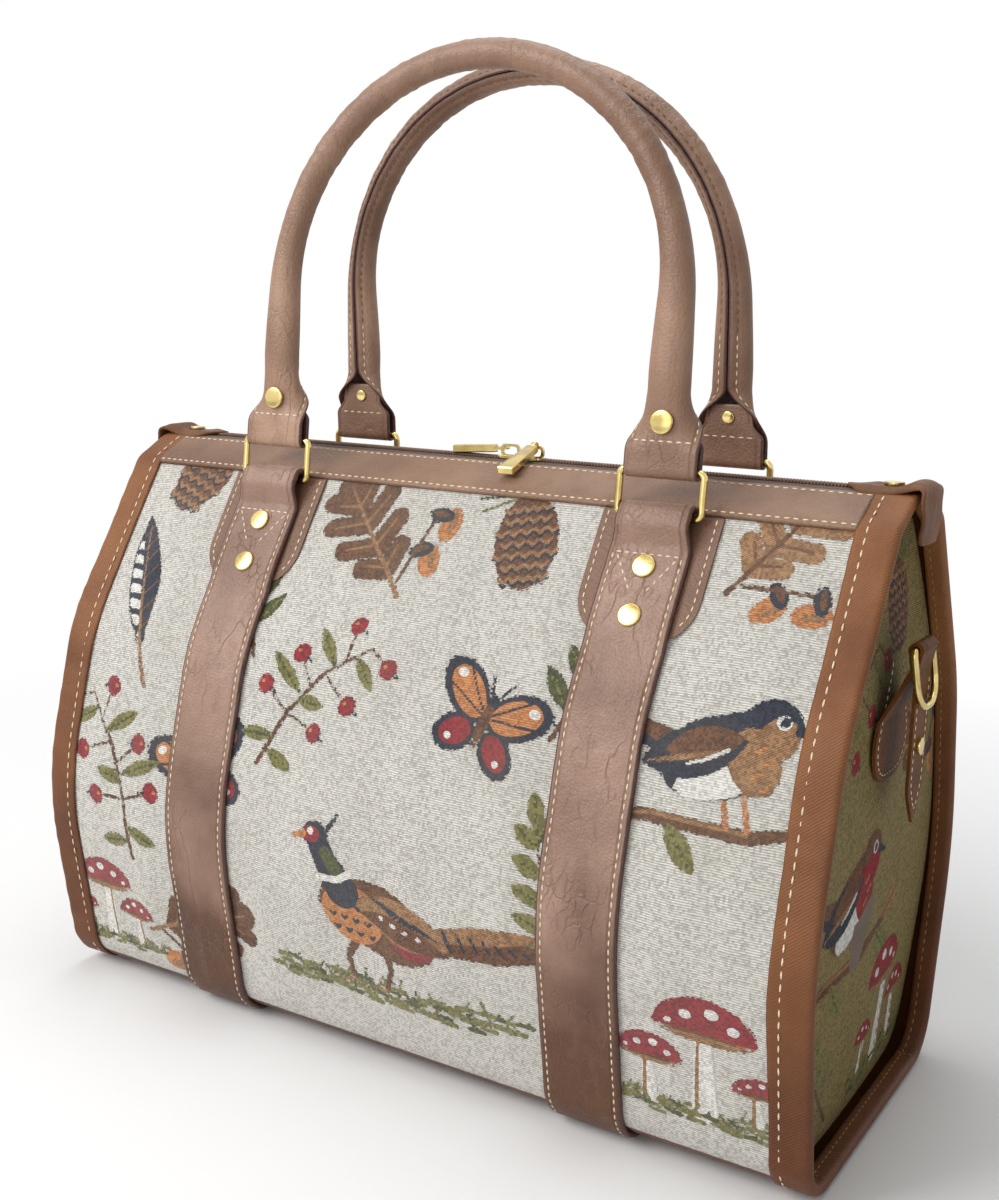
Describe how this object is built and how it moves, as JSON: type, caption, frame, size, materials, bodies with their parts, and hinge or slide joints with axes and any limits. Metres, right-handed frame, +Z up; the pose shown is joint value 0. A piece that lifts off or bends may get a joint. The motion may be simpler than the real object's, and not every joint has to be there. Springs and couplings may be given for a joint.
{
  "type": "carpet bag",
  "caption": "Woven carpet bag with bound ends, leather straps running round the body, rolled handles on rectangular rings, side D-rings and a zip with meeting sliders.",
  "frame": {"origin": "middle of the bag on the ground, at the height of the straps' undersides", "axes": "+X along the bag to the right, +Y from the front to the back, +Z up"},
  "size_m": [0.4602, 0.2118, 0.5006],
  "materials": {
    "tapestry": "ribbed jacquard weave",
    "end_cloth": "plain ribbed weave",
    "base_leather": "grained",
    "strap_leather": "grained, edge painted",
    "handle_leather": "grained, edge painted",
    "trim_leather": "grained",
    "binding": "cross-grained",
    "lining_cloth": "plain twill",
    "board": "matt",
    "gold_metal": "polished",
    "zip_cloth": "herringbone tape",
    "zip_coil": "satin",
    "handle_core": "matt"
  },
  "bodies": {
    "bag": {"back_panel": "tapestry", "base_board": "board", "base_panel": "base_leather", "end_band_left": "trim_leather", "end_band_right": "trim_leather", "end_panel_left": "end_cloth", "end_panel_right": "end_cloth", "front_panel": "tapestry", "lining": "lining_cloth", "rim_binding_left": "binding", "rim_binding_right": "binding", "side_tab_left": "trim_leather", "side_tab_right": "trim_leather", "side_tab_studs": "gold_metal", "strap_left": "strap_leather", "strap_patch_back_left": "strap_leather", "strap_patch_back_right": "strap_leather", "strap_patch_front_left": "strap_leather", "strap_patch_front_right": "strap_leather", "strap_right": "strap_leather", "strap_rivets": "gold_metal", "zip_coil_back": "zip_coil", "zip_coil_front": "zip_coil", "zip_end_rivets": "gold_metal", "zip_end_tab_left": "trim_leather", "zip_end_tab_right": "trim_leather", "zip_facing_back": "trim_leather", "zip_facing_front": "trim_leather", "zip_tape_back": "zip_cloth", "zip_tape_front": "zip_cloth"},
    "zip_slider_left": {"zip_slider_left": "gold_metal"},
    "zip_slider_right": {"zip_slider_right": "gold_metal"},
    "zip_puller_left": {"zip_puller_left": "gold_metal"},
    "zip_puller_right": {"zip_puller_right": "gold_metal"},
    "d_ring_left": {"d_ring_left": "gold_metal"},
    "d_ring_right": {"d_ring_right": "gold_metal"},
    "ring_front_left": {"ring_front_left": "gold_metal"},
    "ring_front_right": {"ring_front_right": "gold_metal"},
    "handle_front": {"handle_front": "handle_leather", "handle_core_front": "handle_core", "handle_rivets_front": "gold_metal"},
    "ring_back_left": {"ring_back_left": "gold_metal"},
    "ring_back_right": {"ring_back_right": "gold_metal"},
    "handle_back": {"handle_back": "handle_leather", "handle_core_back": "handle_core", "handle_rivets_back": "gold_metal"}
  },
  "joints": [
    {"name": "ring_front_left_swing", "type": "hinge", "parent": "bag", "child": "ring_front_left", "pos_m": [-0.112, -0.04088, 0.2847], "axis": [1, 0, 0], "range_deg": [0, 125]},
    {"name": "ring_front_right_swing", "type": "hinge", "parent": "bag", "child": "ring_front_right", "pos_m": [0.112, -0.04088, 0.2847], "axis": [1, 0, 0], "range_deg": [0, 125]},
    {"name": "handle_front_swing", "type": "hinge", "parent": "ring_front_left", "child": "handle_front", "pos_m": [-0.112, -0.03927, 0.30524], "axis": [1, 0, 0], "range_deg": [0, 28]},
    {"name": "ring_back_left_swing", "type": "hinge", "parent": "bag", "child": "ring_back_left", "pos_m": [-0.112, 0.04088, 0.2847], "axis": [-1, 0, 0], "range_deg": [0, 125]},
    {"name": "ring_back_right_swing", "type": "hinge", "parent": "bag", "child": "ring_back_right", "pos_m": [0.112, 0.04088, 0.2847], "axis": [-1, 0, 0], "range_deg": [0, 125]},
    {"name": "handle_back_swing", "type": "hinge", "parent": "ring_back_left", "child": "handle_back", "pos_m": [-0.112, 0.03927, 0.30524], "axis": [-1, 0, 0], "range_deg": [0, 28]},
    {"name": "zip_left_slide", "type": "slide", "parent": "bag", "child": "zip_slider_left", "axis": [-1, 0, 0], "range_m": [0, 0.16]},
    {"name": "zip_right_slide", "type": "slide", "parent": "bag", "child": "zip_slider_right", "axis": [1, 0, 0], "range_m": [0, 0.157]},
    {"name": "zip_puller_left_lift", "type": "hinge", "parent": "zip_slider_left", "child": "zip_puller_left", "pos_m": [0.0059, 0, 0.3062], "axis": [0, 1, 0], "range_deg": [0, 100]},
    {"name": "zip_puller_right_lift", "type": "hinge", "parent": "zip_slider_right", "child": "zip_puller_right", "pos_m": [0.0225, 0, 0.30785], "axis": [-1, 0, 0], "range_deg": [0, 120]},
    {"name": "d_ring_right_lift", "type": "hinge", "parent": "bag", "child": "d_ring_right", "pos_m": [0.2244, 0, 0.233], "axis": [0, -1, 0], "range_deg": [0, 150]},
    {"name": "d_ring_left_lift", "type": "hinge", "parent": "bag", "child": "d_ring_left", "pos_m": [-0.2244, 0, 0.233], "axis": [0, 1, 0], "range_deg": [0, 150]}
  ],
  "couplings": [
    {"joint": "ring_front_right_swing", "follows": "ring_front_left_swing", "ratio": 1},
    {"joint": "ring_back_right_swing", "follows": "ring_back_left_swing", "ratio": 1}
  ]
}
